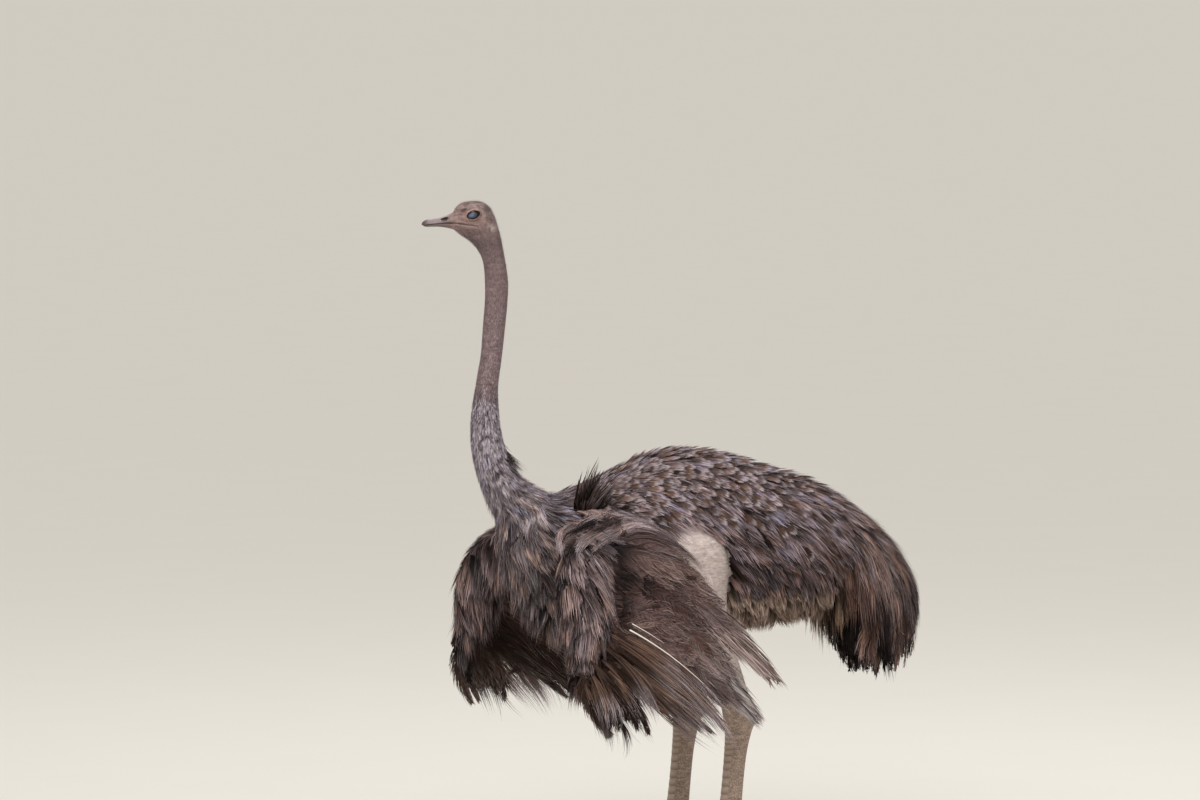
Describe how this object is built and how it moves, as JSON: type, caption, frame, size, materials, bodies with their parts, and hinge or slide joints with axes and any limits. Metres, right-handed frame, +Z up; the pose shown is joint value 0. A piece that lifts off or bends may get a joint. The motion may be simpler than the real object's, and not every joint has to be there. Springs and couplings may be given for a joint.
{
  "type": "ostrich",
  "caption": "Life-size standing hen ostrich: neck up, head turned right, drooped spread wings, hanging tail, two-toed feet flat on the floor.",
  "frame": {"origin": "on the floor, in the middle of the bird's length and of its wing span", "axes": "+Z up; the bird faces -X, and its left side is towards -Y"},
  "size_m": [1.4602, 0.982, 1.8595],
  "materials": {
    "feathers": "soft grey-brown vanes, matt",
    "skin": "thin skin under short down, matt",
    "scales": "horny scales, dull satin",
    "bill": "horn, dull satin",
    "claw": "horn, dull satin",
    "eye": "wet, glossy"
  },
  "bodies": {
    "root": {"body": "feathers", "breast": "feathers", "head": "skin", "left_claw": "claw", "left_eye": "eye", "left_forearm": "feathers", "left_fourth_toe": "scales", "left_hand": "feathers", "left_hock": "scales", "left_inner_plumes": "feathers", "left_middle_plumes": "feathers", "left_outer_plumes": "feathers", "left_tarsus": "scales", "left_thigh": "skin", "left_third_toe": "scales", "left_upper_arm": "feathers", "lower_bill": "bill", "neck_lower": "feathers", "neck_middle": "skin", "neck_upper": "skin", "right_claw": "claw", "right_eye": "eye", "right_forearm": "feathers", "right_fourth_toe": "scales", "right_hand": "feathers", "right_hock": "scales", "right_inner_plumes": "feathers", "right_middle_plumes": "feathers", "right_outer_plumes": "feathers", "right_tarsus": "scales", "right_thigh": "skin", "right_third_toe": "scales", "right_upper_arm": "feathers", "rump": "feathers", "tail_base": "feathers", "tail_plumes": "feathers", "upper_bill": "bill"}
  },
  "joints": []
}
